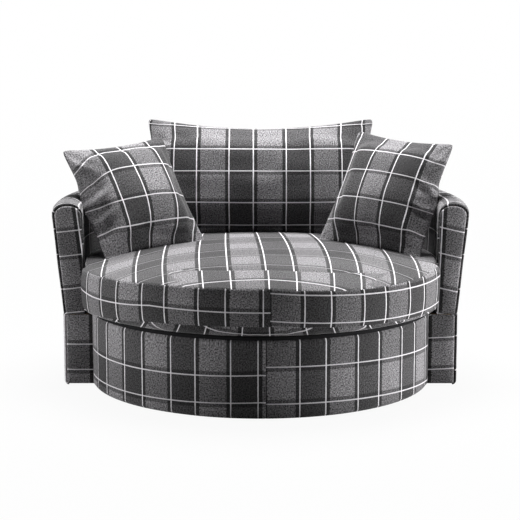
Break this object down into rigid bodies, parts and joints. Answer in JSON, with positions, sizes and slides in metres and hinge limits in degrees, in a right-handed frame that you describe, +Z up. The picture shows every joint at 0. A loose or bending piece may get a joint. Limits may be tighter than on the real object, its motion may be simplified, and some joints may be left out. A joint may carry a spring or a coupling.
{
  "type": "swivel barrel chair",
  "caption": "Round upholstered swivel chair with a wrap-around back, a thick loose seat cushion, a loose back cushion and throw pillows in plaid cloth.",
  "frame": {"origin": "on the floor, on the swivel axis, under the middle of the chair", "axes": "+Z up along the swivel axis, -Y the way a person in the chair faces, +X to the right in a front view"},
  "size_m": [1.432, 1.343, 0.8725],
  "materials": {
    "plaid_cloth": "twill-woven plaid in charcoal, mid grey and off-white",
    "deck_cloth": "plain black non-woven cloth",
    "foam": "upholstery foam",
    "fibre_filling": "polyester fibre filling",
    "zip_tape": "black zip and tape",
    "plywood": "unfinished plywood",
    "bent_panel": "bent fibreboard, unfinished",
    "black_steel": "black powder coat",
    "nylon": "moulded nylon"
  },
  "bodies": {
    "floor_base": {"base_arm_1": "black_steel", "base_arm_2": "black_steel", "base_arm_3": "black_steel", "base_arm_4": "black_steel", "floor_glide_1": "nylon", "floor_glide_2": "nylon", "floor_glide_3": "nylon", "floor_glide_4": "nylon", "lower_plate": "black_steel", "ball_ring": "black_steel", "pivot_bolt": "black_steel", "pivot_nut": "black_steel"},
    "chair": {"upper_plate": "black_steel", "base_board": "plywood", "dust_cover": "deck_cloth", "lower_front_post_1": "plywood", "lower_front_post_2": "plywood", "lower_front_post_3": "plywood", "lower_rear_post_1": "plywood", "lower_rear_post_2": "plywood", "lower_rear_post_3": "plywood", "seat_frame": "plywood", "drum_panel": "bent_panel", "lower_shell_panel": "bent_panel", "seat_spring_1": "black_steel", "seat_spring_2": "black_steel", "seat_spring_3": "black_steel", "seat_spring_4": "black_steel", "seat_spring_5": "black_steel", "seat_spring_6": "black_steel", "deck_pad": "deck_cloth", "top_rail": "plywood", "inside_panel": "bent_panel", "outside_panel": "bent_panel", "upper_post_1": "plywood", "upper_post_2": "plywood", "upper_post_3": "plywood", "upper_post_4": "plywood", "upper_post_5": "plywood", "drum_cover": "plaid_cloth", "lower_shell_cover": "plaid_cloth", "inside_cover": "plaid_cloth", "outside_cover": "plaid_cloth", "left_arm_front": "plaid_cloth", "right_arm_front": "plaid_cloth", "left_base_front": "plaid_cloth", "right_base_front": "plaid_cloth"},
    "seat_cushion": {"seat_cushion_cover": "plaid_cloth", "seat_cushion_core": "foam", "seat_cushion_zip": "zip_tape"},
    "back_cushion": {"back_cushion_cover": "plaid_cloth", "back_cushion_filling": "fibre_filling", "back_cushion_zip": "zip_tape"},
    "left_pillow": {"left_pillow_cover": "plaid_cloth", "left_pillow_filling": "fibre_filling", "left_pillow_zip": "zip_tape"},
    "right_pillow": {"right_pillow_cover": "plaid_cloth", "right_pillow_filling": "fibre_filling", "right_pillow_zip": "zip_tape"}
  },
  "joints": [
    {"name": "swivel", "type": "hinge", "parent": "floor_base", "child": "chair", "pos_m": [0, 0, 0], "axis": [0, 0, 1], "continuous": true},
    {"name": "seat_cushion_lift", "type": "slide", "parent": "chair", "child": "seat_cushion", "axis": [0, 0, 1], "range_m": [0, 0.4]},
    {"name": "back_cushion_lift", "type": "slide", "parent": "seat_cushion", "child": "back_cushion", "axis": [0, 0.309, 0.9511], "range_m": [0, 0.25]},
    {"name": "left_pillow_lift", "type": "slide", "parent": "back_cushion", "child": "left_pillow", "axis": [0, 0, 1], "range_m": [0, 0.25]},
    {"name": "right_pillow_lift", "type": "slide", "parent": "back_cushion", "child": "right_pillow", "axis": [0, 0, 1], "range_m": [0, 0.25]}
  ]
}
